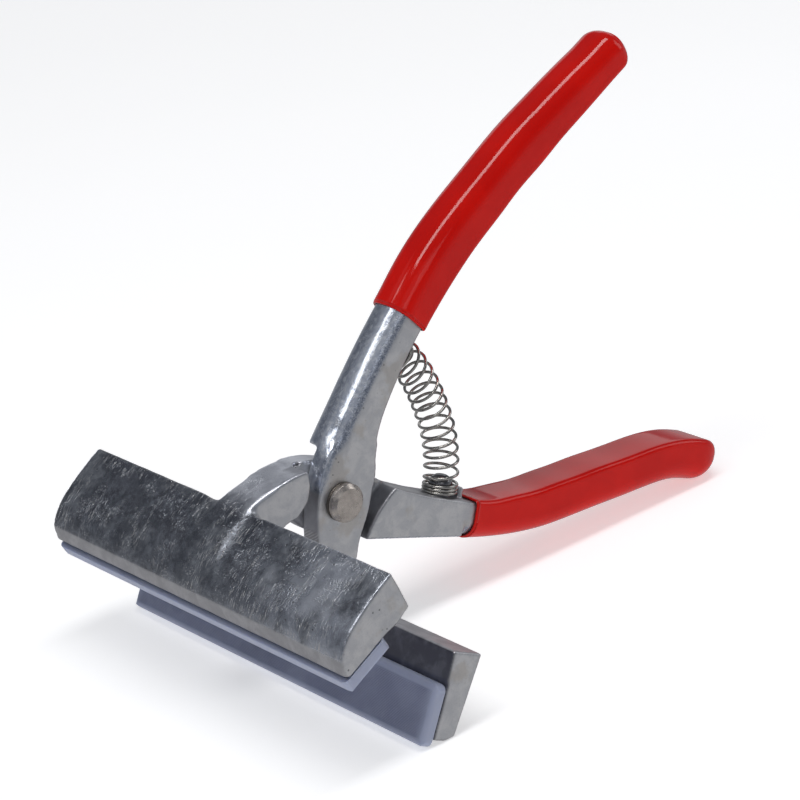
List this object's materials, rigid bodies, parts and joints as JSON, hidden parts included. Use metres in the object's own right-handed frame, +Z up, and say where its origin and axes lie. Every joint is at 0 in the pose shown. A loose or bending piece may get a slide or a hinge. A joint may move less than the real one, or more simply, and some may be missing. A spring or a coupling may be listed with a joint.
{
  "type": "canvas stretching pliers",
  "caption": "Spring-opened wide-jaw stretching pliers: two crossed cast levers on one rivet, long ribbed soft pads in the jaws, dipped grips.",
  "frame": {"origin": "on the ground plane, under the middle of the pliers' box, standing on the lower jaw's foot and the lower handle's tip", "axes": "+X from the jaws to the handles, +Y along the rivet from the front face to the back, +Z up"},
  "size_m": [0.1786, 0.12, 0.1354],
  "materials": {
    "cast_metal": "die cast, satin faces and burnished rounded backs",
    "rivet_nickel": "nickel plated",
    "spring_wire": "bright drawn wire",
    "stud_steel": "dark polished",
    "red_vinyl": "glossy dipped",
    "pad_vinyl": "translucent satin with fine ribs",
    "adhesive": "black film"
  },
  "bodies": {
    "lower_jaw_side": {"lower_jaw_lever": "cast_metal", "pivot_rivet": "rivet_nickel", "front_rivet_washer": "rivet_nickel", "back_rivet_washer": "rivet_nickel", "upper_spring_stud": "stud_steel", "upper_grip": "red_vinyl", "lower_jaw_pad": "pad_vinyl", "lower_pad_adhesive": "adhesive"},
    "upper_jaw_side": {"upper_jaw_lever": "cast_metal", "lower_spring_stud": "stud_steel", "lower_grip": "red_vinyl", "upper_jaw_pad": "pad_vinyl", "upper_pad_adhesive": "adhesive", "return_spring": "spring_wire"}
  },
  "joints": [
    {"name": "jaw_pivot", "type": "hinge", "parent": "lower_jaw_side", "child": "upper_jaw_side", "pos_m": [-0.04432, 0, 0.04143], "axis": [0, -1, 0], "range_deg": [0, 34.5], "stiffness_Nm_per_rad": 0.7, "springref_deg": -40.11, "deforming": ["return_spring"]}
  ]
}
